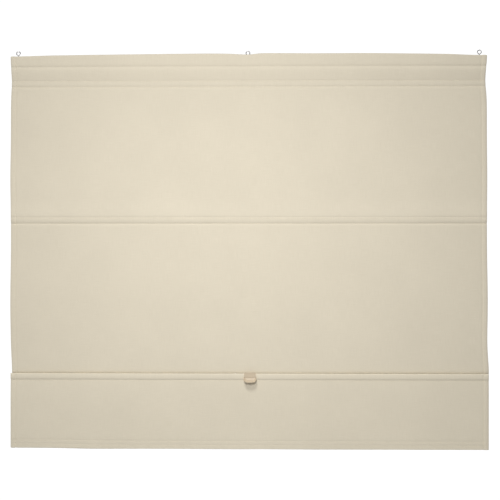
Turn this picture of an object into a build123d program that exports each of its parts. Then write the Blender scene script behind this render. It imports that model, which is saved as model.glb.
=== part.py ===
from build123d import *
import os

# Roman blind, 140 x 160 cm, hung by three screw eyes, with one fold raised behind its bottom flap.
# X runs across the blind, Z points up and the front faces -Y. The origin is the centre of the
# middle screw eye's ring. All sizes are in millimetres.
os.makedirs("parts", exist_ok=True)

# Cloth
cloth_width = 1400.0
drop_length = 1600.0  # let right down, from the ring centres to the bottom edge
cloth_thickness = 0.8
side_hem = 15.0
flap_hem = 25.0
lay = 0.3  # between cloth and what lies on it

# Depths below the top fold
header_seam_depth = 72.5  # upper stitch line of the header sleeve
header_seam_spacing = 18.0
header_hem_tail = 10.0  # cloth left below the lower stitch line
middle_channel_depth = 475.7
bottom_channel_depth = 934.0
channel_height = 18.0
flap_length = 203.0  # from the bottom channel's seam to the bottom edge

# Head batten and screw eyes
batten_depth = 11.0
batten_height = 28.0
batten_end_inset = 10.0
batten_edge_radius = 1.5
middle_eye_height = 8.0  # ring centre above the top fold
end_eye_rise = 1.2  # the end eyes stand this much prouder than the middle one
eye_end_inset = 12.0  # end eyes in from the batten's ends
eye_ring_radius = 5.6  # to the middle of the wire
eye_wire_radius = 1.2
eye_thread_radius = 1.5
eye_thread_length = 17.0
eye_tip_length = 3.0
eye_tip_radius = 0.2
eye_hole_clearance = 0.05
cloth_hole_clearance = 0.3

# Flat bars, end caps and channel tapes
bar_height = 13.0
bar_depth = 2.5
bar_end_inset = 4.0  # from the side hem's stitch line to the cap
bar_corner_radius = 1.0
cap_wall = 0.8
cap_length = 10.0
cap_corner_radius = 1.6
cap_clearance = 0.05
tape_end_inset = 1.0
tape_margin = 4.0  # tape beyond each of its stitch lines
tape_lean = 1 / 6  # how far the tape leans in above and below the bar, as a share of the room
low_tape_drop = 0.7  # the bottom tape starts this far under the cloth that folds over the bar

# Handle and its screws
handle_width = 35.0
handle_height = 28.0
handle_x = 6.0  # off the blind's middle
handle_rise = 4.0  # handle top above the bottom channel's top
handle_lay = 0.1  # between the handle and the cloth
handle_plate = 3.2
handle_plate_height = 20.5
handle_crease_drop = 13.0  # plate top to the root of the scoop
handle_reach = 16.0  # scoop lip out from the cloth
handle_wall = 2.2
handle_root = 3.3  # height of the scoop's wall where it meets the plate
lip_rise = 4.0  # lip edge above the handle's lowest point
lip_wall = 2.0
cheek_wall = 2.2
dish_depth = 0.44  # how far the dish curves in, as shares of its reach and height
dish_height = 0.3
handle_corner_radius = 11.0
handle_top_radius = 2.0
screw_spacing = 20.0
screw_radius = 1.45
screw_head_radius = 2.8
screw_head_height = 1.4
screw_grip = 2.4  # thread held in the handle
screw_clearance = 0.15
screw_grip_clearance = 0.05
screw_access_radius = 3.4
drive_width = 0.9
drive_reach = 0.6  # half the drive's length as a share of the head radius

# Heights and planes worked out from the sizes above
top_fold = -middle_eye_height
cloth_length = drop_length + top_fold
header_seam = top_fold - header_seam_depth
header_hem_end = header_seam - header_seam_spacing - header_hem_tail
batten_top = top_fold - cloth_thickness - lay
batten_bottom = batten_top - batten_height
middle_top = top_fold - middle_channel_depth
middle_bottom = middle_top - channel_height
bottom_top = top_fold - bottom_channel_depth
bottom_seam = bottom_top - channel_height - cloth_thickness
flap_edge = bottom_seam - flap_length
drop_used = (top_fold - bottom_seam) + channel_height + cloth_thickness + flap_length
fold_length = cloth_length - drop_used  # what hangs doubled behind the flap
fold_bottom = (bottom_seam + bottom_top - fold_length) / 2

cap_depth = bar_depth + 2 * (cap_wall + cap_clearance)
cap_height = bar_height + 2 * (cap_wall + cap_clearance)
channel_room = cap_depth + 2 * lay
capped_length = cloth_width - 2 * (side_hem + bar_end_inset)
bar_length = capped_length - 2 * (cap_wall + cap_clearance)
tape_length = cloth_width - 2 * (side_hem + tape_end_inset)
batten_length = cloth_width - 2 * batten_end_inset
end_eye_x = batten_length / 2 - eye_end_inset

panel_back = 0.0
panel_front = panel_back - cloth_thickness
limb_back = panel_front - lay  # the fold's front limb
limb_front = limb_back - cloth_thickness
low_tape_back = limb_front - lay
band_back = low_tape_back - cloth_thickness - channel_room
band_front = band_back - cloth_thickness
middle_bar_y = panel_back + channel_room / 2
back_bar_y = middle_bar_y
bottom_bar_y = band_back + channel_room / 2
middle_bar_z = (middle_top + middle_bottom) / 2
low_bar_z = (bottom_top - cloth_thickness + bottom_seam) / 2
screw_xs = (handle_x - screw_spacing / 2, handle_x + screw_spacing / 2)
screw_places = [(screw_x, low_bar_z) for screw_x in screw_xs]


def extruded_outline(points, length):
    """A closed outline in the YZ plane, extruded to both sides of the middle."""
    with BuildSketch(Plane.YZ) as outline:
        with BuildLine():
            Polyline(*points, close=True)
        make_face()
    extrude(outline.sketch, amount=length / 2, both=True)


def tape_outline(cloth_face, top, bottom, top_margin):
    """A strip of tape stitched above and below a bar, bulging back to make room for it."""
    near = cloth_face + lay
    far = cloth_face + channel_room
    back = far + cloth_thickness
    lean = channel_room * tape_lean
    half = cloth_thickness / 2
    corners = [
        (near, top + top_margin),
        (near, top),
        (far, top - lean),
        (far, bottom + lean),
        (near, bottom),
        (near, bottom - tape_margin),
        (near + cloth_thickness, bottom - tape_margin),
        (near + cloth_thickness, bottom - half),
        (back, bottom + lean - half),
        (back, top - lean + half),
        (near + cloth_thickness, top + half),
        (near + cloth_thickness, top + top_margin),
    ]
    return [corner for i, corner in enumerate(corners) if corner != corners[i - 1]]


# Head batten: a straight wooden lath with a pilot hole for each screw eye
eye_places = {
    "left": (-end_eye_x, end_eye_rise),
    "middle": (0, 0),
    "right": (end_eye_x, end_eye_rise),
}
with BuildPart() as head_batten:
    with Locations((0, 0, (batten_top + batten_bottom) / 2)):
        Box(batten_length, batten_depth, batten_height)
    fillet(head_batten.edges().filter_by(Axis.X), batten_edge_radius)
    for eye_x, rise in eye_places.values():
        tip = batten_top - eye_thread_length - eye_tip_length + rise
        with Locations((eye_x, 0, (batten_top + tip) / 2)):
            Cylinder(eye_thread_radius + eye_hole_clearance, batten_top - tip, mode=Mode.SUBTRACT)
head_batten.part.label = "head_batten"
export_step(head_batten.part, "parts/head_batten.step")

# Screw eyes: a wire ring that faces the front, a neck and a pointed screw
for side, (eye_x, rise) in eye_places.items():
    neck_end = batten_top + rise
    tip_start = batten_top - eye_thread_length + rise
    with BuildPart() as screw_eye:
        with Locations((eye_x, 0, rise)):
            Torus(eye_ring_radius, eye_wire_radius, rotation=(90, 0, 0))
        neck_start = rise - eye_ring_radius
        with Locations((eye_x, 0, (neck_start + neck_end) / 2)):
            Cylinder(eye_wire_radius, neck_start - neck_end)
        with Locations((eye_x, 0, (neck_end + tip_start) / 2)):
            Cylinder(eye_thread_radius, neck_end - tip_start)
        with Locations((eye_x, 0, tip_start - eye_tip_length / 2)):
            Cone(eye_tip_radius, eye_thread_radius, eye_tip_length)
    screw_eye.part.label = f"screw_eye_{side}"
    export_step(screw_eye.part, f"parts/screw_eye_{side}.step")

# Upper cloth: the header sleeve round the batten, its turned-down hem and the upper panel,
# down to the lower stitch line of the middle channel
sleeve_room = batten_depth / 2 + lay
sleeve_out = sleeve_room + cloth_thickness
with BuildPart() as cloth_upper:
    extruded_outline(
        [
            (panel_front, middle_bottom),
            (panel_front, header_seam),
            (-sleeve_out, batten_bottom - lay),
            (-sleeve_out, top_fold),
            (sleeve_out, top_fold),
            (sleeve_out, batten_bottom - lay),
            (panel_back + cloth_thickness, header_seam),
            (panel_back + cloth_thickness, header_hem_end),
            (panel_back, header_hem_end),
            (panel_back, middle_bottom),
        ],
        cloth_width,
    )
    with BuildSketch(Plane.YZ) as sleeve:
        with BuildLine():
            Polyline(
                (panel_back, header_seam),
                (-sleeve_room, batten_bottom - lay),
                (-sleeve_room, top_fold - cloth_thickness),
                (sleeve_room, top_fold - cloth_thickness),
                (sleeve_room, batten_bottom - lay),
                close=True,
            )
        make_face()
    extrude(sleeve.sketch, amount=cloth_width / 2, both=True, mode=Mode.SUBTRACT)
    with Locations(*[(eye_x, 0, top_fold) for eye_x, rise in eye_places.values()]):
        Cylinder(eye_thread_radius + cloth_hole_clearance, 4 * cloth_thickness, mode=Mode.SUBTRACT)
cloth_upper.part.label = "cloth_upper"
export_step(cloth_upper.part, "parts/cloth_upper.step")

# Lower cloth: the panel between the middle channel and the back channel
with BuildPart() as cloth_lower:
    extruded_outline(
        [
            (panel_front, bottom_top),
            (panel_front, middle_bottom - lay),
            (panel_back, middle_bottom - lay),
            (panel_back, bottom_top),
        ],
        cloth_width,
    )
cloth_lower.part.label = "cloth_lower"
export_step(cloth_lower.part, "parts/cloth_lower.step")

# Fold and flap: from the back channel down, round the fold, up behind the bottom bar, over it
# and down the front to the hemmed bottom edge
with BuildPart() as cloth_fold_and_flap:
    extruded_outline(
        [
            (panel_back, bottom_top - lay),
            (panel_back, fold_bottom),
            (limb_front, fold_bottom),
            (limb_front, bottom_top - cloth_thickness),
            (band_back, bottom_top - cloth_thickness),
            (band_back, flap_edge + flap_hem),
            (band_back + cloth_thickness, flap_edge + flap_hem),
            (band_back + cloth_thickness, flap_edge),
            (band_front, flap_edge),
            (band_front, bottom_top),
            (limb_back, bottom_top),
            (limb_back, fold_bottom + cloth_thickness),
            (panel_front, fold_bottom + cloth_thickness),
            (panel_front, bottom_top - lay),
        ],
        cloth_width,
    )
    with Locations(Plane.XZ):
        with Locations(*screw_places):
            with Locations((0, 0, -(band_front + band_back) / 2)):
                Cylinder(screw_radius + screw_clearance, 2 * cloth_thickness, mode=Mode.SUBTRACT)
cloth_fold_and_flap.part.label = "cloth_fold_and_flap"
export_step(cloth_fold_and_flap.part, "parts/cloth_fold_and_flap.step")

# Channel tapes: one behind each bar. The bottom one has access holes for the handle screws
tapes = {
    "middle": tape_outline(panel_back, middle_top, middle_bottom, tape_margin),
    "back": tape_outline(panel_back, bottom_top - cloth_thickness, bottom_seam, tape_margin),
    "bottom": tape_outline(band_back, bottom_top - cloth_thickness - low_tape_drop, bottom_seam, 0),
}
for name, outline_points in tapes.items():
    with BuildPart() as tape:
        extruded_outline(outline_points, tape_length)
        if name == "bottom":
            with Locations(Plane.XZ):
                with Locations(*screw_places):
                    with Locations((0, 0, -(low_tape_back - cloth_thickness / 2))):
                        Cylinder(screw_access_radius, 3 * cloth_thickness, mode=Mode.SUBTRACT)
    tape.part.label = f"{name}_channel_tape"
    export_step(tape.part, f"parts/{name}_channel_tape.step")

# Flat steel bars with a moulded cap on each end
bars = {
    "middle": (middle_bar_y, middle_bar_z),
    "back": (back_bar_y, low_bar_z),
    "bottom": (bottom_bar_y, low_bar_z),
}
for name, (bar_y, bar_z) in bars.items():
    with BuildPart() as bar:
        with Locations((0, bar_y, bar_z)):
            Box(bar_length, bar_depth, bar_height)
        fillet(bar.edges().filter_by(Axis.Y), bar_corner_radius)
        if name == "bottom":
            rear = Plane((handle_x, bar_y + bar_depth / 2, bar_z), x_dir=(-1, 0, 0), z_dir=(0, 1, 0))
            with Locations(rear):
                with GridLocations(screw_spacing, 1, 2, 1):
                    CounterSinkHole(
                        screw_radius + screw_clearance,
                        screw_head_radius + screw_clearance,
                        counter_sink_angle=90,
                    )
    bar.part.label = f"{name}_bar"
    export_step(bar.part, f"parts/{name}_bar.step")
    for side, direction in (("left", -1), ("right", 1)):
        with BuildPart() as cap:
            cap_x = direction * (capped_length - cap_length) / 2
            with Locations((cap_x, bar_y, bar_z)):
                Box(cap_length, cap_depth, cap_height)
            fillet(cap.edges().filter_by(Axis.Y), cap_corner_radius)
            with Locations((cap_x - direction * (cap_wall + cap_clearance), bar_y, bar_z)):
                Box(
                    cap_length,
                    bar_depth + 2 * cap_clearance,
                    bar_height + 2 * cap_clearance,
                    mode=Mode.SUBTRACT,
                )
        cap.part.label = f"{name}_cap_{side}"
        export_step(cap.part, f"parts/{name}_cap_{side}.step")

# Handle: a moulded finger pull. A flat plate carries a dished scoop whose lip stands forward, with
# a cheek at each end, and behind the lip there is room for a fingertip against the cloth
handle_top = bottom_top + handle_rise
handle_bottom = handle_top - handle_height
handle_back = band_front - handle_lay
plate_front = handle_back - handle_plate
lip_front = handle_back - handle_reach
scoop_root = handle_top - handle_crease_drop
plate_bottom = handle_top - handle_plate_height
lip_top = handle_bottom + lip_rise
dish_middle = (
    plate_front + dish_depth * (lip_front - plate_front),
    lip_top + dish_height * (scoop_root - lip_top),
)
wall_shift = handle_wall / 2**0.5  # the wall's thickness along Y and along Z
with BuildPart() as handle:
    with BuildSketch(Plane.YZ) as plate_section:
        with BuildLine():
            Polyline(
                (handle_back, handle_top),
                (plate_front, handle_top),
                (plate_front, plate_bottom),
                (handle_back, plate_bottom),
                close=True,
            )
        make_face()
    extrude(plate_section.sketch, amount=handle_width / 2, both=True)
    with BuildSketch(Plane.YZ) as scoop_section:
        with BuildLine():
            root = (plate_front, scoop_root)
            lip = (lip_front, lip_top)
            inner_lip = (lip_front + lip_wall / 2, handle_bottom)
            inner_root = (plate_front, scoop_root - handle_root)
            inner_middle = (dish_middle[0] + wall_shift, dish_middle[1] - wall_shift)
            ThreePointArc(root, dish_middle, lip)
            Line(lip, inner_lip)
            ThreePointArc(inner_lip, inner_middle, inner_root)
            Line(inner_root, root)
        make_face()
    extrude(scoop_section.sketch, amount=handle_width / 2, both=True)
    cheek_planes = [Plane.YZ.offset(x) for x in (-handle_width / 2, handle_width / 2 - cheek_wall)]
    with BuildSketch(*cheek_planes) as cheeks:
        with BuildLine():
            ThreePointArc(root, dish_middle, lip)
            Polyline(lip, inner_lip, (handle_back, handle_bottom + lip_rise), (handle_back, scoop_root), root)
        make_face()
    extrude(cheeks.sketch, amount=cheek_wall)
    with BuildSketch(Plane.XZ) as front_outline:
        with Locations((0, (handle_top + handle_bottom) / 2)):
            Rectangle(handle_width, handle_height)
        fillet(front_outline.vertices().group_by(Axis.Y)[0], handle_corner_radius)
        fillet(front_outline.vertices().group_by(Axis.Y)[-1], handle_top_radius)
    extrude(front_outline.sketch, amount=-2 * handle_reach, both=True, mode=Mode.INTERSECT)
    with Locations(Plane.XZ):
        with Locations((-screw_spacing / 2, low_bar_z), (screw_spacing / 2, low_bar_z)):
            with Locations((0, 0, -handle_back + screw_grip / 2)):
                Cylinder(screw_radius + screw_grip_clearance, screw_grip, mode=Mode.SUBTRACT)
placed_handle = handle.part.moved(Location((handle_x, 0, 0)))
placed_handle.label = "handle"
export_step(placed_handle, "parts/handle.step")

# Handle screws: countersunk heads flush in the bottom bar, through bar and cloth into the handle
head_back = bottom_bar_y + bar_depth / 2
head_front = head_back - screw_head_height
screw_tip = handle_back - screw_grip
for side, screw_x in zip(("left", "right"), screw_xs):
    with BuildPart() as screw:
        with BuildSketch(Plane.XY) as half_section:
            with BuildLine():
                Polyline(
                    (0, head_back),
                    (screw_head_radius, head_back),
                    (screw_radius, head_front),
                    (screw_radius, screw_tip),
                    (0, screw_tip),
                    close=True,
                )
            make_face()
        revolve(half_section.sketch, axis=Axis.Y)
        with BuildSketch(Plane.XZ.offset(-head_back)) as drive:
            Rectangle(2 * screw_head_radius, drive_width)
            Rectangle(drive_width, 2 * screw_head_radius)
            Circle(drive_reach * screw_head_radius, mode=Mode.INTERSECT)
        extrude(drive.sketch, amount=screw_head_height / 2, mode=Mode.SUBTRACT)
    placed = screw.part.moved(Location((screw_x, 0, low_bar_z)))
    placed.label = f"handle_screw_{side}"
    export_step(placed, f"parts/handle_screw_{side}.step")
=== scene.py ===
import math

import bmesh
import bpy
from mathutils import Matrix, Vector, noise


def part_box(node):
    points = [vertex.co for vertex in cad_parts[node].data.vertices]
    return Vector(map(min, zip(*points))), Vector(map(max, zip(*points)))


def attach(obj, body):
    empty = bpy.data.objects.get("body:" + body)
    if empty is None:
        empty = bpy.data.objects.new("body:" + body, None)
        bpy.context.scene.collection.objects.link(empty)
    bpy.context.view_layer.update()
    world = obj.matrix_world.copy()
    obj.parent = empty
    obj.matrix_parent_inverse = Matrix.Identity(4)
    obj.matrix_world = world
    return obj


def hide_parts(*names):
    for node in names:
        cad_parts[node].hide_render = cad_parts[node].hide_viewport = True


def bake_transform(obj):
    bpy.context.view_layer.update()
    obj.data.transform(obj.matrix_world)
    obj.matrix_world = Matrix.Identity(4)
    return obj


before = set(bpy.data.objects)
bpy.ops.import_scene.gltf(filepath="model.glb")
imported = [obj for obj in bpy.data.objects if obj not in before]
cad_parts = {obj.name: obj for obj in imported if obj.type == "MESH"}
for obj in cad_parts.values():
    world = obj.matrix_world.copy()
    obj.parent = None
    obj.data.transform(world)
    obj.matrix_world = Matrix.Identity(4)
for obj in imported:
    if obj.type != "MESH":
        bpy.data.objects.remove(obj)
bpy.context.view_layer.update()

print("stage: frame loaded")

# Places read from the frame, in metres
upperLow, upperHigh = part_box("cloth_upper")
lowerLow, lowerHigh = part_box("cloth_lower")
flapLow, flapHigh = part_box("cloth_fold_and_flap")
battenLow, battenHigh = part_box("head_batten")
middleTapeLow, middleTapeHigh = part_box("middle_channel_tape")
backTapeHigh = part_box("back_channel_tape")[1]
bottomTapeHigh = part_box("bottom_channel_tape")[1]
handleLow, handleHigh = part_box("handle")

# The cloth as it was cut and sewn
cloth = {
    "thickness": 0.0008,
    "sideHem": 0.015,
    "hemGap": 0.0003,  # air between the two layers of a hem
    "flapHem": 0.025,
    "flapHemSecondSeam": 0.012,
    "headerSeams": (0.0725, 0.0905),  # below the top fold
    "headerTail": 0.010,
    "channelHeight": 0.018,
    "tapeMargin": 0.004,
    "seamsUp": (0.0005, 0.0009),  # the middle channel's seams lie this far above its edges
    "flatWidth": 1.430,  # with both side hems opened out
}
halfThick = cloth["thickness"] / 2
hemStep = cloth["thickness"] + cloth["hemGap"]  # from a layer's middle to the next one's
halfWidth = upperHigh[0]
topFold = upperHigh[2]
middleSeams = (upperLow[2] + cloth["channelHeight"], upperLow[2])
bottomSeams = (flapHigh[2], flapHigh[2] - cloth["channelHeight"] - cloth["thickness"])
panelY = (lowerLow[1] + lowerHigh[1]) / 2
bandY = flapLow[1] + halfThick
flapEdge = flapLow[2]


def smooth(edge0, edge1, x):
    t = min(max((x - edge0) / (edge1 - edge0), 0.0), 1.0)
    return t * t * (3 - 2 * t)


def bell(distance, width):
    return math.exp(-((distance / width) ** 2))


def wander(x, y, seed):  # smooth noise from -1 to 1
    return noise.noise(Vector((x, y, seed * 7.31)))


# How finely the cloth is divided, in metres; arcStep is in radians
fineness = {
    "acrossPanel": 0.0050,
    "acrossFold": 0.0055,
    "acrossTape": 0.009,
    "alongPanel": 0.0085,
    "alongFold": 0.0095,
    "alongTape": 0.005,
    "alongSeam": 0.004,
    "arcStep": 0.35,
    "leastStep": 0.00022,
    "besideSeam": (0.0014, 0.0028, 0.0045, 0.007),
}


# A line in the YZ plane through the corners, with an arc at each inner corner. Every entry is
# (y, z, outward y, outward z, length so far); the outward side is the cloth's face.
def roundedLine(corners, radii, spacing, fineAt=()):
    pieces = [Vector(corners[0])]
    for i in range(1, len(corners) - 1):
        here, before, after = (Vector(corners[k]) for k in (i, i - 1, i + 1))
        toBefore, toAfter = (before - here).normalized(), (after - here).normalized()
        turn = math.pi - toBefore.angle(toAfter)
        radius = radii[i - 1]
        reach = radius * math.tan(turn / 2)
        centre = here + (toBefore + toAfter).normalized() * radius / math.cos(turn / 2)
        start, end = here + toBefore * reach - centre, here + toAfter * reach - centre
        steps = max(3, int(turn / fineness["arcStep"]))
        for k in range(steps + 1):
            share = k / steps
            a = start * math.sin((1 - share) * turn) + end * math.sin(share * turn)
            pieces.append(centre + a / math.sin(turn))
    pieces.append(Vector(corners[-1]))
    lengths = [0.0]
    for a, b in zip(pieces, pieces[1:]):
        lengths.append(lengths[-1] + (b - a).length)
    wanted = set(lengths)
    for i in range(1, len(lengths)):
        count = max(1, math.ceil((lengths[i] - lengths[i - 1]) / spacing - 0.01))
        wanted |= {lengths[i - 1] + (lengths[i] - lengths[i - 1]) * k / count for k in range(count)}
    for at in fineAt:
        wanted |= {at} | {at + side * d for d in fineness["besideSeam"] for side in (-1, 1)}
    wanted = sorted(w for w in wanted if 0 <= w <= lengths[-1])
    kept = [wanted[0]]
    for w in wanted[1:]:
        if w - kept[-1] > fineness["leastStep"]:
            kept.append(w)
    line, k = [], 0
    for w in kept:
        while k < len(lengths) - 2 and lengths[k + 1] < w:
            k += 1
        share = (w - lengths[k]) / max(lengths[k + 1] - lengths[k], 1e-9)
        point = pieces[k].lerp(pieces[k + 1], share)
        line.append((point, w))
    result = []
    for i, (point, w) in enumerate(line):
        along = (line[min(i + 1, len(line) - 1)][0] - line[max(i - 1, 0)][0]).normalized()
        result.append((point[0], point[1], along[1], -along[0], w))
    return result


def lengthAt(corners, index, extra=0.0):  # path length at a corner, before its corners are rounded
    total = 0.0
    for a, b in zip(corners[:index], corners[1 : index + 1]):
        total += (Vector(b) - Vector(a)).length
    return total + extra


# Columns across the cloth as (x, offset from the face). A side hem turns back at each edge.
def clothColumns(half, hem, spacing):
    turn = hemStep / 2
    turnAngles = (0.52, 1.05, 1.57, 2.09, 2.62)
    side = [(half - hem * share, -hemStep) for share in (1, 0.66, 0.33)] + [(half - turn, -hemStep)]
    side += [(half - turn + turn * math.sin(a), -turn - turn * math.cos(a)) for a in turnAngles]
    side += [(half - turn, 0.0)]
    side += [(half - d, 0.0) for d in (0.0015, 0.003, 0.0045, 0.006, 0.009)]
    side += [(half - hem + d, 0.0) for d in (0.004, 0.0025, 0.0012, 0, -0.0012, -0.0025, -0.004, -0.0065)]
    inner = half - hem - 0.0065
    count = math.ceil(2 * inner / spacing)
    middle = [(inner - 2 * inner * k / count, 0.0) for k in range(1, count)]
    return side + middle + [(-x, offset) for x, offset in reversed(side)]


def addObject(name, data):
    holder = bpy.data.objects.new(name, data)
    bpy.context.collection.objects.link(holder)
    return holder


def bakeModifiers(piece):  # what the modifiers make becomes the piece's own mesh
    plain = piece.data
    made = bpy.data.meshes.new_from_object(piece.evaluated_get(bpy.context.evaluated_depsgraph_get()))
    piece.modifiers.clear()
    piece.data = made
    bpy.data.meshes.remove(plain)
    made.name = piece.name
    return made


# A woven sheet from a line and columns. relief(x, length, y, z) lifts the face; shift moves a point.
def clothPiece(name, line, columns, relief, shift, material):
    mesh = bpy.data.meshes.new(name)
    points, faces, uvs = [], [], []
    wide = len(columns)
    across = [0.0]
    for (xa, oa), (xb, ob) in zip(columns, columns[1:]):
        across.append(across[-1] + math.hypot(xb - xa, ob - oa))
    for y, z, ny, nz, length in line:
        for x, offset in columns:
            lift = offset + relief(x, length, y, z)
            dx, dz = shift(x, length, y, z)
            points.append((x + dx, y + ny * lift, z + nz * lift + dz))
    for j in range(len(line) - 1):
        for i in range(wide - 1):
            a = j * wide + i
            faces.append((a, a + wide, a + wide + 1, a + 1))
            uvs += [(across[p], line[q][4]) for p, q in ((i, j), (i, j + 1), (i + 1, j + 1), (i + 1, j))]
    mesh.from_pydata(points, [], faces)
    layer = mesh.uv_layers.new(name="threads")
    layer.data.foreach_set("uv", [c for uv in uvs for c in uv])
    piece = addObject(name, mesh)
    mesh.materials.append(material)
    thicken = piece.modifiers.new("thickness", "SOLIDIFY")
    thicken.thickness = cloth["thickness"]
    thicken.offset = 0.0
    thicken.use_even_offset = False
    solid = bakeModifiers(piece)
    bothFaces = 2 * len(faces)  # the cut edges come after them and stay flat
    solid.polygons.foreach_set("use_smooth", [k < bothFaces for k in range(len(solid.polygons))])
    return piece


# Node groups: three shared by the materials, and later one that lays the stitches

def newGroup(name, inputs, outputs, kind="ShaderNodeTree"):
    group = bpy.data.node_groups.new(name, kind)
    for label, socketKind, value in inputs:
        socket = group.interface.new_socket(label, in_out="INPUT", socket_type="NodeSocket" + socketKind)
        if value is not None:
            socket.default_value = value
    for label, socketKind in outputs:
        group.interface.new_socket(label, in_out="OUTPUT", socket_type="NodeSocket" + socketKind)
    return group, group.nodes.new("NodeGroupInput"), group.nodes.new("NodeGroupOutput")


def addNode(tree, kind, values=None, sources=None, **settings):
    node = tree.nodes.new(kind)
    for key, value in settings.items():
        setattr(node, key, value)
    for label, value in (values or {}).items():
        node.inputs[label].default_value = value
    for label, source in (sources or {}).items():
        tree.links.new(source, node.inputs[label])
    return node


def mathNode(tree, operation, *sides):
    node = addNode(tree, "ShaderNodeMath", operation=operation)
    for index, value in enumerate(sides):
        if isinstance(value, (int, float)):
            node.inputs[index].default_value = value
        else:
            tree.links.new(value, node.inputs[index])
    return node.outputs[0]


def times(tree, a, b):
    return mathNode(tree, "MULTIPLY", a, b)


# Plain weave: threads that pass over and under each other, with slubs and uneven threads
def weaveGroup():
    shape = {"slubAcross": 900.0, "slubAlong": 28.0, "cloudScale": 5.0, "crossing": 0.5, "slubHeight": 0.9}
    group, entry, exitNode = newGroup(
        "plainWeave",
        [("Threads", "Vector", None), ("Pitch", "Float", 0.0005),
         ("Unevenness", "Float", 0.5)],
        [("Height", "Float"), ("Slub", "Float"), ("Cloud", "Float")],
    )
    threads = entry.outputs["Threads"]
    split = addNode(group, "ShaderNodeSeparateXYZ", sources={0: threads})
    slubs = []
    stretches = (shape["slubAcross"], shape["slubAlong"], 1.0), (shape["slubAlong"], shape["slubAcross"], 1.0)
    for stretch in stretches:
        scaled = addNode(group, "ShaderNodeVectorMath", {1: stretch}, {0: threads}, operation="MULTIPLY")
        noiseValues = {"Scale": 1.0, "Detail": 2.0, "Roughness": 0.55}
        grain = addNode(group, "ShaderNodeTexNoise", noiseValues, {"Vector": scaled.outputs[0]})
        slubs.append(grain.outputs["Fac"])
    slub = times(group, mathNode(group, "ADD", *slubs), 0.5)
    drift = times(group, mathNode(group, "SUBTRACT", slub, 0.5), entry.outputs["Unevenness"])
    waves = []
    for index in (0, 1):
        count = mathNode(group, "DIVIDE", split.outputs[index], entry.outputs["Pitch"])
        turns = times(group, mathNode(group, "ADD", count, drift), math.pi)
        waves.append(mathNode(group, "SINE", turns))
    crossing = times(group, times(group, *waves), shape["crossing"])
    height = mathNode(group, "ADD", crossing, times(group, slub, shape["slubHeight"]))
    cloudValues = {"Scale": shape["cloudScale"], "Detail": 4.0, "Roughness": 0.6}
    cloud = addNode(group, "ShaderNodeTexNoise", cloudValues, {"Vector": threads})
    for label, source in (("Height", height), ("Slub", slub), ("Cloud", cloud.outputs["Fac"])):
        group.links.new(source, exitNode.inputs[label])
    return group


# Edge wear and painted highlight: a mask that is high where an edge is sharp, broken up by noise. On the
# handle it paints a highlight along the rim of the lip.
def wearAndHighlightGroup():
    group, entry, exitNode = newGroup(
        "edgeWearAndHighlight",
        [("Place", "Vector", None), ("Radius", "Float", 0.0006),
         ("Amount", "Float", 0.6), ("Breakup", "Float", 400.0)],
        [("Mask", "Float")],
    )
    rounded = addNode(group, "ShaderNodeBevel", sources={"Radius": entry.outputs["Radius"]}, samples=6)
    geometry = addNode(group, "ShaderNodeNewGeometry")
    normals = {0: rounded.outputs[0], 1: geometry.outputs["Normal"]}
    dot = addNode(group, "ShaderNodeVectorMath", sources=normals, operation="DOT_PRODUCT")
    edge = mathNode(group, "SUBTRACT", 1.0, dot.outputs["Value"])
    noiseSources = {"Vector": entry.outputs["Place"], "Scale": entry.outputs["Breakup"]}
    breakup = addNode(group, "ShaderNodeTexNoise", {"Detail": 3.0}, noiseSources)
    edgeGain = 14.0
    wornAndHighlight = times(group, times(group, edge, edgeGain), breakup.outputs["Fac"])
    strength = times(group, wornAndHighlight, entry.outputs["Amount"])
    clamped = addNode(group, "ShaderNodeClamp", sources={"Value": strength})
    group.links.new(clamped.outputs[0], exitNode.inputs["Mask"])
    return group


# Fine dust and handling marks, as a mask
def dustGroup():
    group, entry, exitNode = newGroup(
        "fineDust",
        [("Place", "Vector", None), ("Scale", "Float", 60.0),
         ("Amount", "Float", 0.5)],
        [("Mask", "Float")],
    )
    noiseSources = {"Vector": entry.outputs["Place"], "Scale": entry.outputs["Scale"]}
    patches = addNode(group, "ShaderNodeTexNoise", {"Detail": 6.0, "Roughness": 0.65}, noiseSources)
    rangeValues = {"From Min": 0.42, "From Max": 0.72}
    spread = addNode(group, "ShaderNodeMapRange", rangeValues, {"Value": patches.outputs["Fac"]})
    mask = times(group, spread.outputs[0], entry.outputs["Amount"])
    group.links.new(mask, exitNode.inputs["Mask"])
    return group


weave, edgeWearAndHighlight, fineDust = weaveGroup(), wearAndHighlightGroup(), dustGroup()


def startMaterial(name):
    material = bpy.data.materials.new(name)
    material.use_nodes = True
    tree = material.node_tree
    shader = tree.nodes["Principled BSDF"]
    return material, tree, shader


def mixColours(tree, share, a, b):
    mix = addNode(tree, "ShaderNodeMix", sources={0: share}, data_type="RGBA")
    for index, colour in ((6, a), (7, b)):
        if isinstance(colour, tuple):
            mix.inputs[index].default_value = (*colour, 1.0)
        else:
            tree.links.new(colour, mix.inputs[index])
    return mix.outputs[2]


def roughTo(tree, shader, source, low, high):
    rough = addNode(tree, "ShaderNodeMapRange", {"To Min": low, "To Max": high}, {"Value": source})
    tree.links.new(rough.outputs[0], shader.inputs["Roughness"])


def bumpTo(tree, shader, height, strength, distance):
    bumpValues = {"Strength": strength, "Distance": distance}
    bump = addNode(tree, "ShaderNodeBump", bumpValues, {"Height": height})
    tree.links.new(bump.outputs[0], shader.inputs["Normal"])


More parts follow.
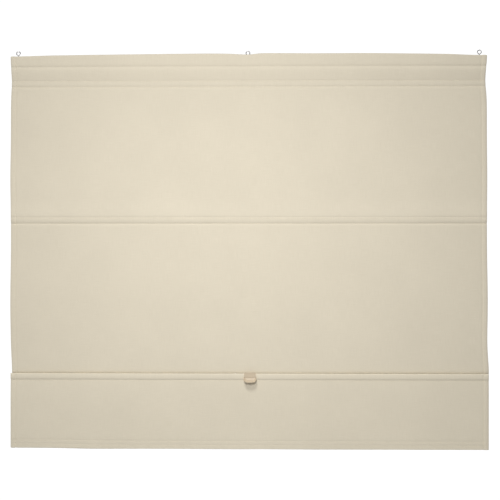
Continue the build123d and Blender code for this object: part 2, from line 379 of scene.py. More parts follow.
# Cloth: unbleached plain weave. light and dark are the thread colours, cloud how blotchy it is
def clothMaterial(name, look):
    material, tree, shader = startMaterial(name)
    threads = addNode(tree, "ShaderNodeUVMap", uv_map="threads")
    weaveValues = {"Pitch": look["pitch"], "Unevenness": look["unevenness"]}
    fabric = addNode(tree, "ShaderNodeGroup", weaveValues, {"Threads": threads.outputs[0]}, node_tree=weave)
    base = mixColours(tree, fabric.outputs["Slub"], look["dark"], look["light"])
    rangeValues = {"From Min": 0.35, "From Max": 0.65, "To Min": 1 - look["cloud"], "To Max": 1.0}
    cloudRange = addNode(tree, "ShaderNodeMapRange", rangeValues, {"Value": fabric.outputs["Cloud"]})
    tintSources = {0: base, "Scale": cloudRange.outputs[0]}
    tint = addNode(tree, "ShaderNodeVectorMath", sources=tintSources, operation="SCALE")
    tree.links.new(tint.outputs[0], shader.inputs["Base Color"])
    roughTo(tree, shader, fabric.outputs["Slub"], look["rough"], look["rough"] + 0.12)
    surface = {"Sheen Weight": look["sheen"], "Sheen Roughness": 0.6, "Specular IOR Level": 0.2}
    for label, value in surface.items():
        shader.inputs[label].default_value = value
    bumpTo(tree, shader, fabric.outputs["Height"], look["bump"], 0.0002)
    return material


clothLook = {
    "pitch": 0.0005, "unevenness": 0.7, "dark": (0.66, 0.597, 0.475), "light": (0.80, 0.736, 0.612),
    "cloud": 0.03, "rough": 0.82, "sheen": 0.12, "bump": 0.35,
}
tapeLook = {
    "pitch": 0.0004, "unevenness": 0.4, "dark": (0.70, 0.645, 0.51), "light": (0.82, 0.77, 0.64),
    "cloud": 0.02, "rough": 0.8, "sheen": 0.1, "bump": 0.4,
}
linen = clothMaterial("unbleachedCloth", clothLook)
tapeCloth = clothMaterial("tapeCloth", tapeLook)


# Sewing thread, a shade warmer than the cloth, with its twist as fine ridges
def threadMaterial():
    look = {"dark": (0.60, 0.53, 0.39), "light": (0.78, 0.71, 0.56), "twist": 260.0}
    material, tree, shader = startMaterial("sewingThread")
    coords = addNode(tree, "ShaderNodeTexCoord")
    twistValues = {"Scale": look["twist"], "Distortion": 1.5, "Detail": 1.0}
    twist = addNode(tree, "ShaderNodeTexWave", twistValues, {"Vector": coords.outputs["Object"]},
                    wave_type="BANDS", bands_direction="DIAGONAL")
    base = mixColours(tree, twist.outputs["Fac"], look["dark"], look["light"])
    tree.links.new(base, shader.inputs["Base Color"])
    roughTo(tree, shader, twist.outputs["Fac"], 0.5, 0.7)
    bumpTo(tree, shader, twist.outputs["Fac"], 0.4, 0.00005)
    return material


# Planed softwood: rings drawn out along the batten
def woodMaterial():
    look = {"early": (0.66, 0.47, 0.27), "late": (0.45, 0.28, 0.14), "ringScale": 55.0}
    material, tree, shader = startMaterial("planedSoftwood")
    coords = addNode(tree, "ShaderNodeTexCoord")
    drawnOut = {"Scale": (0.035, 1.0, 1.0)}
    mapping = addNode(tree, "ShaderNodeMapping", drawnOut, {"Vector": coords.outputs["Object"]})
    along = {"Vector": mapping.outputs[0]}
    ringValues = {"Scale": look["ringScale"], "Distortion": 5.0, "Detail": 3.0, "Detail Scale": 1.6}
    rings = addNode(tree, "ShaderNodeTexWave", ringValues, along, wave_type="RINGS", rings_direction="X")
    fibre = addNode(tree, "ShaderNodeTexNoise", {"Scale": 900.0, "Detail": 4.0}, along)
    grain = mixColours(tree, rings.outputs["Fac"], look["early"], look["late"])
    fibreShare = times(tree, fibre.outputs["Fac"], 0.35)
    tree.links.new(mixColours(tree, fibreShare, grain, look["early"]), shader.inputs["Base Color"])
    roughTo(tree, shader, fibre.outputs["Fac"], 0.55, 0.75)
    bumpTo(tree, shader, fibre.outputs["Fac"], 0.3, 0.0002)
    return material


# Metal and plastic share one recipe: a base colour, worn edges (on the handle also a painted highlight along
# the lip's rim), dust in the roughness and fine relief
def hardMaterial(name, look):
    material, tree, shader = startMaterial(name)
    here = addNode(tree, "ShaderNodeTexCoord").outputs["Object"]
    wearAndHighlightValues = {"Radius": look["wearAndHighlightRadius"], "Amount": look["wearAndHighlight"], "Breakup": look["breakup"]}
    wearAndHighlight = addNode(tree, "ShaderNodeGroup", wearAndHighlightValues, {"Place": here}, node_tree=edgeWearAndHighlight)
    dustValues = {"Scale": look["dustScale"], "Amount": look["dust"]}
    dust = addNode(tree, "ShaderNodeGroup", dustValues, {"Place": here}, node_tree=fineDust)
    fine = addNode(tree, "ShaderNodeTexNoise", {"Scale": look["grain"], "Detail": 3.0}, {"Vector": here})
    varied = mixColours(tree, fine.outputs["Fac"], look["dark"], look["light"])
    # Sharp edges take the worn colour: wear on the metal, paint and caps; on the handle part wear, part a
    # painted highlight along the lip's rim
    tree.links.new(mixColours(tree, wearAndHighlight.outputs["Mask"], varied, look["wornAndHighlight"]), shader.inputs["Base Color"])
    roughTo(tree, shader, dust.outputs["Mask"], look["rough"], look["rough"] + 0.25)
    shader.inputs["Metallic"].default_value = look["metallic"]
    bumpTo(tree, shader, fine.outputs["Fac"], look["bump"], look["relief"])
    return material


zincLook = {
    "dark": (0.36, 0.35, 0.36), "light": (0.50, 0.49, 0.51), "wornAndHighlight": (0.66, 0.66, 0.68), "metallic": 1.0,
    "wearAndHighlightRadius": 0.0003, "wearAndHighlight": 0.5, "breakup": 700.0, "dustScale": 300.0, "dust": 0.6,
    "grain": 1400.0, "rough": 0.28, "bump": 0.15, "relief": 0.00004,
}
screwLook = {**zincLook, "dark": (0.42, 0.41, 0.39), "light": (0.58, 0.57, 0.55)}
paintLook = {
    "dark": (0.76, 0.76, 0.73), "light": (0.82, 0.82, 0.79), "wornAndHighlight": (0.45, 0.44, 0.43), "metallic": 0.0,
    "wearAndHighlightRadius": 0.0003, "wearAndHighlight": 0.4, "breakup": 300.0, "dustScale": 80.0, "dust": 0.5,
    "grain": 500.0, "rough": 0.35, "bump": 0.1, "relief": 0.00005,
}
capLook = {
    "dark": (0.74, 0.73, 0.68), "light": (0.80, 0.79, 0.74), "wornAndHighlight": (0.88, 0.87, 0.84), "metallic": 0.0,
    "wearAndHighlightRadius": 0.0004, "wearAndHighlight": 0.4, "breakup": 500.0, "dustScale": 150.0, "dust": 0.6,
    "grain": 1800.0, "rough": 0.45, "bump": 0.2, "relief": 0.00006,
}
# Handle: its light edge colour is part edge wear, part a painted highlight along the rim of the lip
handleLook = {
    "dark": (0.54, 0.445, 0.32), "light": (0.61, 0.51, 0.385), "wornAndHighlight": (0.78, 0.70, 0.57), "metallic": 0.0,
    "wearAndHighlightRadius": 0.0007, "wearAndHighlight": 0.7, "breakup": 350.0, "dustScale": 120.0, "dust": 0.5,
    "grain": 1600.0, "rough": 0.42, "bump": 0.2, "relief": 0.00008,
}
stitchThread = threadMaterial()
softwood = woodMaterial()
zinc = hardMaterial("zincPlate", zincLook)
screwSteel = hardMaterial("screwSteel", screwLook)
barPaint = hardMaterial("whiteBarPaint", paintLook)
capPlastic = hardMaterial("capPlastic", capLook)
handlePlastic = hardMaterial("handlePlastic", handleLook)
print("stage: materials made")

# How the cloth lies, in metres; puffRightSettle and eyeDip are shares
lie = {
    "ripple": 0.0014,  # broad waves in the free panels
    "rippleAcross": 0.26,
    "rippleAlong": 0.34,
    "seamWidth": 0.0033,
    "stitchDent": 0.00025,
    "pucker": 0.0003,
    "puckerLength": 0.017,
    "channelBulge": 0.0003,
    "headerLean": 0.0010,  # the cloth hangs forward over a channel's top edge
    "middleLean": 0.0022,
    "bandRecovery": 0.022,  # below the band the flap comes forward again over this height
    "edgeRoll": 0.0011,
    "puffBoth": 0.0030,  # the header stands up between its screw eyes
    "puffLeft": 0.0049,
    "puffRight": 0.0058,
    "puffRightSettle": 0.18,
    "eyeDip": 0.8,  # what is lost of the puffs at the middle eye
    "topWave": 0.0004,
    "topReach": 0.018,  # how far down the front and back the puffs show
    "battenDent": 0.0019,  # the front draws in under the batten, then fills out again
    "dentPlace": (0.0036, 0.0046),  # depth below the batten and width
    "belowBatten": 0.0012,
    "belowPlace": (0.020, 0.013),
    "leanFade": 0.055,  # above a channel's top edge
    "headerFade": 0.09,  # the broad waves fade out towards the seams
    "middleFade": 0.07,
    "middleStill": 0.010,
    "bandFade": 0.06,
    "hemProud": 0.0004,  # the two layers of a side hem
    "hemStack": 0.0030,  # side hems that lie behind one another
    # the side edges: height, reach, left edge's shift and right edge's shift
    "edgeDraw": (
        (-0.075, 0.045, 0.0028, -0.0048), (-0.37, 0.08, -0.0019, 0.0010),
        (-0.73, 0.11, -0.0023, 0.0026), (-0.94, 0.06, 0.0030, 0.0056),
    ),
    "flapDraw": (0.0007, 0.0040),
    "flapRise": 0.0029,
    "flapWave": 0.0006,
    "tapeSlack": 0.00025,
}
seamDepths = {
    "header": (0.0005, 0.0011),
    "middle": (0.0009, 0.0011),
    "back": 0.0011,
    "band": 0.0015,
    "flapHem": 0.0003,
    "sideHem": 0.0004,
}
# Where along x each change of the header's top edge starts and is done
topSpans = {
    "bothStart": (-0.69, -0.56), "bothEnd": (0.57, 0.69), "left": (-0.66, -0.12),
    "settle": (0.05, 0.2), "right": (0.34, 0.68),
}
eyeWidths = {"left": 0.045, "right": 0.028}
# Seeds of the smooth noise, one for each thing that varies
seeds = {
    "gather": 3.1, "fineGather": 4.7, "seamDepth": 5.9, "hemGather": 8.3, "slowRipple": 2.0,
    "fineRipple": 7.0, "topEdge": 6.0, "flapEdge": 12.0, "backSeam": 9.1, "band": 6.0,
}
headerSeamZs = [topFold - depth for depth in cloth["headerSeams"]]
panelSeams = list(zip(headerSeamZs, seamDepths["header"]))
panelSeams += [(z + up, depth) for z, up, depth in zip(middleSeams, cloth["seamsUp"], seamDepths["middle"])]


def seamRelief(x, distance, depth, seed):  # a soft dent at a stitch line, with small puckers beside it
    gather = wander(x / lie["puckerLength"], seed, seeds["gather"])
    gather += 0.5 * wander(x / lie["puckerLength"] * 2.3, seed, seeds["fineGather"])
    slow = 1 + 0.35 * wander(x / 0.11, seed, seeds["seamDepth"])
    dent = depth * slow * bell(distance, lie["seamWidth"]) + lie["stitchDent"] * bell(distance, 0.0011)
    return lie["pucker"] * gather * math.exp(-abs(distance) / 0.010) - dent


def hemRelief(x, z, seed):  # the same along a side hem, whose two layers lie a little proud
    fromSeam = abs(x) - (halfWidth - cloth["sideHem"])
    if fromSeam < -0.06:
        return 0.0
    side = 1 if x > 0 else 2
    gather = wander(z / lie["puckerLength"], seed + side, seeds["hemGather"])
    dent = seamDepths["sideHem"] * bell(fromSeam, 0.0025) + lie["stitchDent"] * 0.8 * bell(fromSeam, 0.0011)
    proud = lie["hemProud"] * smooth(0.0, 0.003, fromSeam)
    roll = lie["edgeRoll"] * smooth(cloth["sideHem"] - 0.006, cloth["sideHem"], fromSeam) ** 2
    return proud - dent - roll + lie["pucker"] * gather * math.exp(-abs(fromSeam) / 0.010)


def hemStack(x):  # where a turned-back layer lies behind the side hems, it stands off by their layers
    return lie["hemStack"] * smooth(-0.010, 0.0, abs(x) - (halfWidth - cloth["sideHem"]))


def broadRipple(x, z, share):
    slow = wander(x / lie["rippleAcross"], z / lie["rippleAlong"], seeds["slowRipple"])
    fine = wander(x / (lie["rippleAcross"] * 0.37), z / (lie["rippleAlong"] * 0.5), seeds["fineRipple"])
    return lie["ripple"] * share * (slow + 0.35 * fine)


def leanRelief(z, top, bottom, lean):  # forward at a channel's top edge, back in line at its bottom edge
    if z <= bottom:
        return 0.0
    return lean * ((z - bottom) / (top - bottom) if z < top else smooth(lie["leanFade"], 0.0, z - top))


def channelRelief(z, top, bottom, bulge):
    share = (top - z) / (top - bottom)
    return bulge * math.sin(math.pi * share) ** 0.7 if 0 < share < 1 else 0.0


def backSeamRelief(x, z):  # the dent at the back channel's upper seam, just above the band
    slow = 1 + 0.3 * wander(x / 0.11, seeds["backSeam"], seeds["seamDepth"])
    return -seamDepths["back"] * slow * bell(z - bottomSeams[0], lie["seamWidth"])


def panelRelief(x, z):  # the hanging panels and the header's front, by height
    lift = hemRelief(x, z, 1.0)
    for seamZ, depth in panelSeams:
        if abs(z - seamZ) < 0.06:
            lift += seamRelief(x, z - seamZ, depth, seamZ * 9)
    fromMiddle = abs(z - sum(middleSeams) / 2) - lie["middleStill"]
    free = smooth(0.0, lie["headerFade"], headerSeamZs[1] - z) * smooth(0.0, lie["middleFade"], fromMiddle)
    free *= smooth(0.0, lie["bandFade"], z - bottomSeams[0])
    leans = leanRelief(z, *headerSeamZs, lie["headerLean"]), leanRelief(z, *middleSeams, lie["middleLean"])
    lift += backSeamRelief(x, z) + leans[0] + leans[1]
    return lift + broadRipple(x, z, free) + channelRelief(z, *middleSeams, lie["channelBulge"])


def sideways(x, left, right):  # a shift that is full at the side edges and fades towards the middle
    return left * max(-x / halfWidth, 0) ** 2 + right * max(x / halfWidth, 0) ** 2


def edgeDraw(x, z):  # how the side edges wander from straight
    left = sum(a * bell(z - height, reach) for height, reach, a, b in lie["edgeDraw"])
    right = sum(b * bell(z - height, reach) for height, reach, a, b in lie["edgeDraw"])
    return sideways(x, left, right)


# Upper cloth: tail of the header hem, up the back, over the batten and down the front
sleeveY = upperHigh[1] - halfThick
upperCorners = [
    (halfThick, headerSeamZs[1] - cloth["headerTail"]),
    (halfThick, headerSeamZs[0]),
    (sleeveY, battenLow[2] - 0.0005),
    (sleeveY, topFold - halfThick),
    (-sleeveY, topFold - halfThick),
    (-sleeveY, battenLow[2] - 0.0005),
    (panelY, headerSeamZs[0]),
    (panelY, upperLow[2] + 0.00002),
]
backSeamLengths = [cloth["headerTail"], lengthAt(upperCorners, 1)]
headerGap = cloth["headerSeams"][1] - cloth["headerSeams"][0]
frontSeamLengths = [lengthAt(upperCorners, 6), lengthAt(upperCorners, 6, headerGap)]
channelLengths = [lengthAt(upperCorners, 7, -up) for up in (cloth["channelHeight"], cloth["seamsUp"][1])]
upperSeams = backSeamLengths + frontSeamLengths + channelLengths
underBatten = lengthAt(upperCorners, 5, 0.0035)
upperRadii = (0.03, 0.02, 0.0022, 0.0022, 0.012, 0.05)
upperLine = roundedLine(upperCorners, upperRadii, fineness["alongPanel"], upperSeams + [underBatten])
topLength = lengthAt(upperCorners, 3, sleeveY)


def upperRelief(x, length, y, z):
    if length > topLength:
        if z > battenHigh[2] - 0.003:
            return hemRelief(x, z, 1.0)
        below = battenLow[2] - z
        (fullAt, fullWidth), (dentAt, dentWidth) = lie["belowPlace"], lie["dentPlace"]
        filled = lie["belowBatten"] * bell(below - fullAt, fullWidth)
        return panelRelief(x, z) + (filled - lie["battenDent"] * bell(below - dentAt, dentWidth))
    low = smooth(0.03, 0.0, z - headerSeamZs[0])
    return -panelRelief(x, z) * low + hemStack(x) * low


def upperShift(x, length, y, z):
    done = {name: smooth(*span, x) for name, span in topSpans.items()}
    both = lie["puffBoth"] * done["bothStart"] * (1 - done["bothEnd"])
    if x < 0:
        own = lie["puffLeft"] * done["left"] * (1 - lie["eyeDip"] * bell(x, eyeWidths["left"]))
    else:
        own = lie["puffRight"] * (1 - lie["puffRightSettle"] * done["settle"]) * (1 - done["right"])
        own *= 1 - lie["eyeDip"] * bell(x, eyeWidths["right"])
    wave = lie["topWave"] * wander(x / 0.07, 0.3, seeds["topEdge"])
    nearTop = math.exp(-abs(length - topLength) / lie["topReach"])
    return edgeDraw(x, z), (both + own + wave) * nearTop


columns = clothColumns(halfWidth, cloth["sideHem"], fineness["acrossPanel"])
clothUpper = clothPiece("clothUpper", upperLine, columns, upperRelief, upperShift, linen)
print("stage: upper cloth", len(clothUpper.data.polygons), "faces")

# Lower cloth: a plain panel, whose top edge meets the upper cloth in the channel's lower seam
lowerCorners = [(panelY, upperLow[2] - 0.00002), (panelY, lowerLow[2])]
lowerLength = lengthAt(lowerCorners, 1)
lowerLine = roundedLine(lowerCorners, (), fineness["alongPanel"], [0.0, lowerLength])


def lowerRelief(x, length, y, z):
    return panelRelief(x, z)


def panelShift(x, length, y, z):
    return edgeDraw(x, z), 0.0


clothLower = clothPiece("clothLower", lowerLine, columns, lowerRelief, panelShift, linen)
print("stage: lower cloth", len(clothLower.data.polygons), "faces")

# Fold and flap: down behind, round the fold, up to the bottom bar, over it and down to the hem
fold = {
    "bottomUp": 0.0034,  # its lowest point, above the flap's edge
    "narrowUp": 0.0075,  # from there, where it closes up
    "backUp": 0.030,
    "frontUp": 0.034,
    "backBow": (0.0012, 0.0005),
    "frontBow": (0.0022, 0.0026),
    "limbGap": 0.0003,
    "flapBack": 0.0004,
}
limbY = flapHigh[1] - cloth["thickness"] - fold["limbGap"] - halfThick
foldBottom = flapEdge + fold["bottomUp"]
hangY = bandY + fold["flapBack"]
foldCorners = [
    (panelY, lowerLow[2] - 0.0003),
    (panelY, foldBottom + fold["backUp"]),
    (panelY + fold["backBow"][0], foldBottom + fold["narrowUp"]),
    (panelY + fold["backBow"][1], foldBottom + halfThick),
    (limbY - fold["frontBow"][0], foldBottom + halfThick),
    (limbY - fold["frontBow"][1], foldBottom + fold["narrowUp"]),
    (limbY, foldBottom + fold["frontUp"]),
    (limbY, flapHigh[2] - halfThick),
    (bandY, flapHigh[2] - halfThick),
    (bandY, bottomSeams[1]),
    (hangY, flapEdge + halfThick),
    (hangY + hemStep, flapEdge + halfThick),
    (hangY + hemStep, flapEdge + cloth["flapHem"]),
]
foldRadii = (0.04, 0.008, 0.0014, 0.0014, 0.008, 0.04, 0.0022, 0.0020, 0.01, 0.0005, 0.0005)
bandLength = lengthAt(foldCorners, 8)
flapLength = lengthAt(foldCorners, 10)
foldSeams = [
    lengthAt(foldCorners, 9),
    flapLength - cloth["flapHem"] + 0.001,
    flapLength - cloth["flapHemSecondSeam"],
]
foldLine = roundedLine(foldCorners, foldRadii, fineness["alongFold"], foldSeams)


def flapRelief(x, z):
    fromSeam = z - bottomSeams[1]
    dent = bell(fromSeam, 0.0021) if fromSeam > 0 else math.exp(fromSeam / lie["bandRecovery"])
    lift = hemRelief(x, z, 5.0) + seamRelief(x, fromSeam, 0.0, seeds["band"]) - seamDepths["band"] * dent
    for seamZ in (flapEdge + cloth["flapHem"] - 0.001, flapEdge + cloth["flapHemSecondSeam"]):
        lift += seamRelief(x, z - seamZ, seamDepths["flapHem"], seamZ * 9)
    lift += channelRelief(z, flapHigh[2], bottomSeams[1], lie["channelBulge"])
    return lift + broadRipple(x, z, 0.8 * smooth(0.0, 0.07, bottomSeams[1] - z))


def foldRelief(x, length, y, z):
    if length < bandLength - 0.001:
        return backSeamRelief(x, z) if length < 0.05 else 0.0
    if length > flapLength + hemStep / 2:  # the turned-up hem lies behind the flap
        return hemStack(x) * smooth(0.0, 0.005, length - flapLength - hemStep) - flapRelief(x, z)
    return flapRelief(x, z)


def foldShift(x, length, y, z):
    if length < bandLength - 0.004:  # the raised fold keeps clear inside the flap
        draw = edgeDraw(x, max(z, bottomSeams[0])) * smooth(0.08, 0.0, bottomSeams[0] - z)
        return (draw if length < 0.1 else 0.0), 0.0
    rise = lie["flapRise"] * smooth(-0.40, -0.64, x) * (bottomSeams[1] - z) / (bottomSeams[1] - flapEdge)
    wave = lie["flapWave"] * wander(x / 0.2, 1.0, seeds["flapEdge"])
    return sideways(x, *lie["flapDraw"]), rise + wave


foldColumns = clothColumns(halfWidth, cloth["sideHem"], fineness["acrossFold"])
clothFoldAndFlap = clothPiece("clothFoldAndFlap", foldLine, foldColumns, foldRelief, foldShift, linen)
print("stage: fold and flap", len(clothFoldAndFlap.data.polygons), "faces")


# Channel tapes: a flat strip stitched along both edges, bulging back over the bar
tapeOff = 0.0007  # from the face it is stitched to, to the middle of the tape


def channelTape(name, high, top, bottom, faceRelief, face=0.0, upMargin=cloth["tapeMargin"]):
    near = face + tapeOff
    far = high[1] - halfThick
    slope = 0.0012
    corners = [
        (near, bottom - cloth["tapeMargin"]), (near, bottom), (far, bottom + slope), (far, top - slope),
        (near, top), (near, top + upMargin),
    ]
    cornerRadius = 0.0011
    line = roundedLine(corners, (cornerRadius,) * 4, fineness["alongTape"])
    half = high[0]
    count = math.ceil(2 * half / fineness["acrossTape"])
    strip = [(half - 2 * half * k / count, 0.0) for k in range(count + 1)]

    def relief(x, length, y, z):
        slack = lie["tapeSlack"] * wander(x / 0.05, length / 0.02, far * 900)
        return slack * smooth(near, far, y) - faceRelief(x, z) * smooth(near + 0.0012, near, y)

    return clothPiece(name, line, strip, relief, lambda x, length, y, z: (0.0, 0.0), tapeCloth)


backTop = bottomSeams[0] - cloth["thickness"]
bottomTop = bottomTapeHigh[2] - halfThick - 0.0004
bandBack = flapLow[1] + cloth["thickness"]
tapeMiddle = channelTape("channelTapeMiddle", middleTapeHigh, *middleSeams, panelRelief)
tapeBack = channelTape("channelTapeBack", backTapeHigh, backTop, bottomSeams[1], backSeamRelief)
tapeBottom = channelTape("channelTapeBottom", bottomTapeHigh, bottomTop, bottomSeams[1], flapRelief,
                         face=bandBack, upMargin=0.0009)
print("stage: channel tapes")


# Stitches: short threads laid end to end along a seam, made by Geometry Nodes
def stitchTree():
    tree, entry, exitNode = newGroup(
        "stitchRow",
        [("Geometry", "Geometry", None), ("Stitch Spacing", "Float", 0.0038),
         ("Stitch Length", "Float", 0.0029), ("Thread Radius", "Float", 0.00026),
         ("Unevenness", "Float", 0.06), ("Seed", "Int", 4),
         ("Thread", "Material", None)],
        [("Geometry", "Geometry")],
        "GeometryNodeTree",
    )
    given = entry.outputs

    def linked(kind, sources, values=None, **settings):
        return addNode(tree, kind, values, sources, **settings).outputs[0]

    curve = linked("GeometryNodeMeshToCurve", {"Mesh": given["Geometry"]})
    spacing = given["Stitch Spacing"]
    spots = linked("GeometryNodeResampleCurve", {"Curve": curve, "Length": spacing}, mode="LENGTH")
    tangent = linked("GeometryNodeInputTangent", {})
    along = linked("FunctionNodeAlignRotationToVector", {"Vector": tangent}, axis="Z")
    ball = linked("GeometryNodeMeshUVSphere", {}, {"Segments": 6, "Rings": 4, "Radius": 1.0})
    halfLength = times(tree, given["Stitch Length"], 0.5)
    radius = given["Thread Radius"]
    size = linked("ShaderNodeCombineXYZ", {0: radius, 1: radius, 2: halfLength})
    stitch = linked("GeometryNodeTransform", {"Geometry": ball, "Scale": size})
    laid = linked("GeometryNodeInstanceOnPoints", {"Points": spots, "Instance": stitch, "Rotation": along})
    negative = times(tree, given["Unevenness"], -1.0)
    tilt = linked("FunctionNodeRandomValue", {0: negative, 1: given["Unevenness"], "Seed": given["Seed"]},
                  data_type="FLOAT_VECTOR")
    turned = linked("GeometryNodeRotateInstances", {"Instances": laid, "Rotation": tilt})
    made = linked("GeometryNodeRealizeInstances", {0: turned})
    coloured = linked("GeometryNodeSetMaterial", {"Geometry": made, "Material": given["Thread"]})
    tree.links.new(coloured, exitNode.inputs[0])
    return tree


stitchRow = stitchTree()


# One piece of stitches from several seams, each a list of points
def stitchPiece(name, seams, seed):
    mesh = bpy.data.meshes.new(name)
    points, edges = [], []
    for seam in seams:
        edges += [(len(points) + k, len(points) + k + 1) for k in range(len(seam) - 1)]
        points += seam
    mesh.from_pydata(points, edges, [])
    piece = addObject(name, mesh)
    rows = piece.modifiers.new("stitches", "NODES")
    rows.node_group = stitchRow
    named = {item.name: item.identifier for item in stitchRow.interface.items_tree if item.in_out == "INPUT"}
    rows[named["Seed"]] = seed
    rows[named["Thread"]] = stitchThread
    plain = bakeModifiers(piece)
    plain.polygons.foreach_set("use_smooth", [True] * len(plain.polygons))
    return piece


def onLine(line, length):  # the line's entry at a length
    for a, b in zip(line, line[1:]):
        if a[4] <= length <= b[4]:
            t = (length - a[4]) / (b[4] - a[4])
            return [p + (q - p) * t for p, q in zip(a, b)]
    return list(line[-1] if length > line[-1][4] else line[0])


def clothPoint(line, x, length, relief, shift, outside):
    y, z, ny, nz, at = onLine(line, length)
    lift = relief(x, at, y, z) + outside
    dx, dz = shift(x, at, y, z)
    return (x + dx, y + ny * lift, z + nz * lift + dz)


def acrossRows(line, relief, shift, lengths):
    count = int(2 * seamHalf / fineness["alongSeam"])
    places = [-seamHalf + 2 * seamHalf * k / count for k in range(count + 1)]
    return [[clothPoint(line, x, at, relief, shift, onFace) for x in places] for at in lengths]


def hemRows(line, relief, shift, *spans):  # along both side hems; a span is its start, end and offset
    rows = []
    for side in (-1, 1):
        for start, end, outside in spans:
            count = max(2, int((end - start) / fineness["alongSeam"]))
            places = [start + (end - start) * k / count for k in range(count + 1)]
            rows.append([clothPoint(line, side * hemSeamX, at, relief, shift, outside) for at in places])
    return rows


def tapeRows(high, *heights):  # straight rows on the back of a tape, one beside each of its edges
    ends = (-high[0] + stitching["tapeEnd"], high[0] - stitching["tapeEnd"])
    return [[(x, tapeOff + cloth["thickness"], z) for x in ends] for z in heights]


stitching = {"threadRise": 0.00012, "sideGap": 0.0045, "hemCatch": 0.0006, "tapeEnd": 0.002, "backHem": 0.21}
onFace = halfThick + stitching["threadRise"]
throughHem = -(hemStep + halfThick + stitching["threadRise"])
seamHalf = halfWidth - stitching["sideGap"]
hemSeamX = halfWidth - cloth["sideHem"] + stitching["hemCatch"]
upperWays = (upperRelief, upperShift)
lowerWays = (lowerRelief, panelShift)
foldWays = (foldRelief, foldShift)

headerRows = acrossRows(upperLine, *upperWays, backSeamLengths + frontSeamLengths)
headerStitches = stitchPiece("stitchesHeader", headerRows, 11)
upperHemStitches = stitchPiece("stitchesUpperHems", hemRows(
    upperLine, *upperWays,
    (0.003, topLength - 0.002, onFace), (topLength + 0.002, channelLengths[1], onFace),
    (frontSeamLengths[1] + 0.012, channelLengths[0], throughHem),
), 12)
middleRows = acrossRows(upperLine, *upperWays, (channelLengths[0], channelLengths[1] - 0.0005))
middleRows += tapeRows(middleTapeHigh, middleSeams[0] + 0.0015, middleSeams[1] - 0.0015)
middleStitches = stitchPiece("stitchesMiddleChannel", middleRows, 13)
lowerHemRows = hemRows(lowerLine, *lowerWays, (0.002, lowerLength, onFace), (0.002, lowerLength, throughHem))
lowerHemStitches = stitchPiece("stitchesLowerHems", lowerHemRows, 14)
turnedUpSeams = [2 * flapLength + hemStep - at for at in foldSeams[1:]]
bottomRows = acrossRows(foldLine, *foldWays, foldSeams + turnedUpSeams)
bottomRows += hemRows(foldLine, *foldWays, (bandLength + 0.003, flapLength - 0.001, onFace))
bottomRows += hemRows(foldLine, *foldWays, (0.002, stitching["backHem"], throughHem))
bottomRows += tapeRows(backTapeHigh, bottomSeams[0] + 0.0010, bottomSeams[1] - 0.0015)
bottomStitches = stitchPiece("stitchesBottom", bottomRows, 15)
print("stage: stitches")


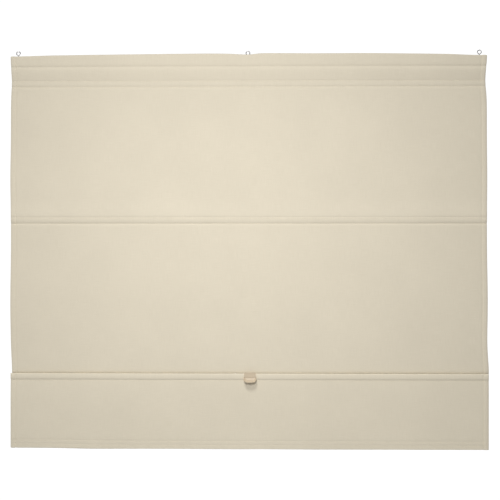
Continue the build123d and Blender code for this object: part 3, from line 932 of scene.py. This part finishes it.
# Handle: a plate and a shell whose rim stands forward, modelled as one closed skin
def fingerPull():
    look = {"wall": 0.0021, "plate": 0.0032, "creaseDrop": 0.013, "cornerRadius": 0.0085, "dishPower": 2.5,
            "groove": 0.0003, "endNotch": 0.0018, "plateLean": 0.0008, "sag": 0.0006, "topInset": 0.0012,
            "edgeRound": 0.0006, "sideGap": 0.0004, "topGap": 0.0002, "lipGap": 0.0006, "rimPower": 0.75}
    middle = (handleLow[0] + handleHigh[0]) / 2
    half = (handleHigh[0] - handleLow[0]) / 2 - look["sideGap"]
    top, bottom = handleHigh[2] - look["topGap"], handleLow[2] + look["sideGap"]
    back, lip = handleHigh[1], handleLow[1] + look["lipGap"]
    plateFront = back - look["plate"]
    crease = top - look["creaseDrop"]
    radius = look["cornerRadius"]
    shell = bmesh.new()

    def outline(share):  # the lower edge seen from the front, from the left end of the crease to the right
        straight = crease - (bottom + radius)
        arc = math.pi / 2 * radius
        flat = 2 * (half - radius)
        at = share * (2 * straight + 2 * arc + flat)
        if at < straight:
            return -half, crease - at
        at -= straight
        if at < arc:
            angle = at / radius
            return -half + radius - radius * math.cos(angle), bottom + radius - radius * math.sin(angle)
        at -= arc
        if at < flat:
            return -half + radius + at, bottom
        at -= flat
        if at < arc:
            angle = math.pi / 2 - at / radius
            return half - radius + radius * math.cos(angle), bottom + radius - radius * math.sin(angle)
        at -= arc
        return half, bottom + radius + at

    columnsAcross, rowsDown = 40, 12
    faceRows = []
    for share in (0.0, 0.3, 0.6, 0.86, 0.97):  # the plate, from its top down to the crease
        z = top + (crease - top) * share
        inset = look["topInset"] if share == 0 else 0.0
        proud = plateFront - look["plateLean"] * share * share
        faceRows.append([(middle - half + inset + 2 * (half - inset) * i / columnsAcross, proud, z)
                     for i in range(columnsAcross + 1)])
    for k in range(rowsDown + 1):
        v = k / rowsDown
        row = []
        for i in range(columnsAcross + 1):
            share = i / columnsAcross
            endX, endZ = outline(share)
            startX = -half + 2 * half * share
            rim = (lip - plateFront) * math.sin(math.pi * share) ** look["rimPower"]
            sag = look["sag"] * math.sin(math.pi * v)
            sag += (look["groove"] + look["endNotch"] * abs(2 * share - 1) ** 8) * bell(v, 0.09)
            depth = plateFront + rim * v ** look["dishPower"] + sag
            row.append((middle + startX + (endX - startX) * v, depth, crease + (endZ - crease) * v))
        faceRows.append(row)
    rows = [[shell.verts.new(p) for p in row] for row in faceRows]
    for upper, lower in zip(rows, rows[1:]):
        for a, b, c, d in zip(upper, upper[1:], lower[1:], lower):
            shell.faces.new((a, d, c, b))
    bmesh.ops.remove_doubles(shell, verts=shell.verts, dist=0.00002)
    mesh = bpy.data.meshes.new("fingerPull")
    shell.to_mesh(mesh)
    shell.free()
    piece = addObject("fingerPull", mesh)
    wall = piece.modifiers.new("wall", "SOLIDIFY")
    wall.thickness, wall.offset = look["wall"], -1.0
    wall.use_even_offset = False
    rounded = piece.modifiers.new("roundedEdges", "BEVEL")
    rounded.width, rounded.segments, rounded.angle_limit = look["edgeRound"], 3, math.radians(40)
    finer = piece.modifiers.new("finer", "SUBSURF")
    finer.levels = finer.render_levels = 1
    solid = bakeModifiers(piece)
    solid.materials.clear()
    solid.materials.append(handlePlastic)
    solid.polygons.foreach_set("use_smooth", [True] * len(solid.polygons))
    return piece


pull = fingerPull()
print("stage: finger pull", len(pull.data.polygons), "faces")


# Materials on the CAD nodes that stay
def finishNode(node, material):
    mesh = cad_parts[node].data
    mesh.materials.clear()
    mesh.materials.append(material)


finishNode("head_batten", softwood)
for side in ("left", "middle", "right"):
    finishNode(f"screw_eye_{side}", zinc)
for level in ("middle", "back", "bottom"):
    finishNode(f"{level}_bar", barPaint)
    for side in ("left", "right"):
        finishNode(f"{level}_cap_{side}", capPlastic)
for side in ("left", "right"):
    finishNode(f"handle_screw_{side}", screwSteel)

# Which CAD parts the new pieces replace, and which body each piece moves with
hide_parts("cloth_upper")
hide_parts("cloth_lower")
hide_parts("cloth_fold_and_flap")
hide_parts("middle_channel_tape")
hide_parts("back_channel_tape")
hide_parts("bottom_channel_tape")
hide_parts("handle")
for piece in (clothUpper, upperHemStitches):
    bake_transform(piece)
for piece in (clothLower, lowerHemStitches):
    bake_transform(piece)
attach(headerStitches, "head")
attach(middleStitches, "middle_bar_body")
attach(tapeMiddle, "middle_bar_body")
for piece in (clothFoldAndFlap, bottomStitches, tapeBack, tapeBottom, pull):
    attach(piece, "bottom_bars_body")
print("stage: pieces placed on their bodies")

# Camera, floor and lights
shot = {"distance": 3.2, "widthSeen": 1.471, "aimX": 0.0060, "aimZ": -0.579, "turn": 1.1}
camera = addObject("camera", bpy.data.cameras.new("camera"))
turn = math.radians(shot["turn"])
sideStep, back = shot["distance"] * math.sin(turn), shot["distance"] * math.cos(turn)
camera.location = (shot["aimX"] + sideStep, -back, shot["aimZ"])
camera.rotation_euler = (math.radians(90), 0, turn)
camera.data.sensor_width = 36.0
camera.data.lens = 36.0 * shot["distance"] / shot["widthSeen"]
bpy.context.scene.camera = camera

floorMesh = bpy.data.meshes.new("floor")
floorHalf, floorDepth, floorLevel = 1.6, 1.5, -1.95
floorCorners = [(x * floorHalf, y * floorDepth, floorLevel) for x, y in ((-1, -1), (1, -1), (1, 1), (-1, 1))]
floorMesh.from_pydata(floorCorners, [], [(0, 1, 2, 3)])
floor = addObject("floor", floorMesh)
paleFloor, floorShader = startMaterial("paleFloor")[::2]
floorShader.inputs["Base Color"].default_value = (0.86, 0.86, 0.85, 1.0)
floorShader.inputs["Roughness"].default_value = 0.7
floorMesh.materials.append(paleFloor)


def addLamp(name, kind, location, aim, power, colour, **settings):
    lamp = bpy.data.lights.new(name, kind)
    lamp.energy, lamp.color = power, colour
    for key, value in settings.items():
        setattr(lamp, key, value)
    holder = addObject(name, lamp)
    holder.location = location
    holder.rotation_euler = (Vector(aim) - Vector(location)).to_track_quat("-Z", "Y").to_euler()
    holder.visible_camera = False


addLamp("overhead", "SUN", (-0.35, -1.3, 1.7), aim=(0.0, 0.0, -0.5),
        power=1.5, colour=(0.99, 0.99, 0.955), angle=0.24)
addLamp("frontPool", "AREA", (-0.09, -1.4, -0.31), aim=(-0.09, 0.0, -0.34),
        power=13.6, colour=(1.0, 0.985, 0.96), size=0.5)
addLamp("backFill", "AREA", (0.4, 2.4, 0.6), aim=(0.0, 0.0, -0.6),
        power=34.0, colour=(1.0, 1.0, 1.0), size=1.8)

world = bpy.data.worlds.new("studio")
bpy.context.scene.world = world
world.use_nodes = True
sky = world.node_tree
background = sky.nodes["Background"]
background.inputs["Color"].default_value = (1.0, 1.0, 1.0, 1.0)
lightPath = sky.nodes.new("ShaderNodeLightPath")
skyLight, backdropLight = 0.15, 1.05
strengths = {"To Min": skyLight, "To Max": backdropLight}
seen = addNode(sky, "ShaderNodeMapRange", strengths, {"Value": lightPath.outputs["Is Camera Ray"]})
sky.links.new(seen.outputs[0], background.inputs["Strength"])
bpy.context.scene.view_settings.view_transform = "Standard"
print("stage: camera and lights")
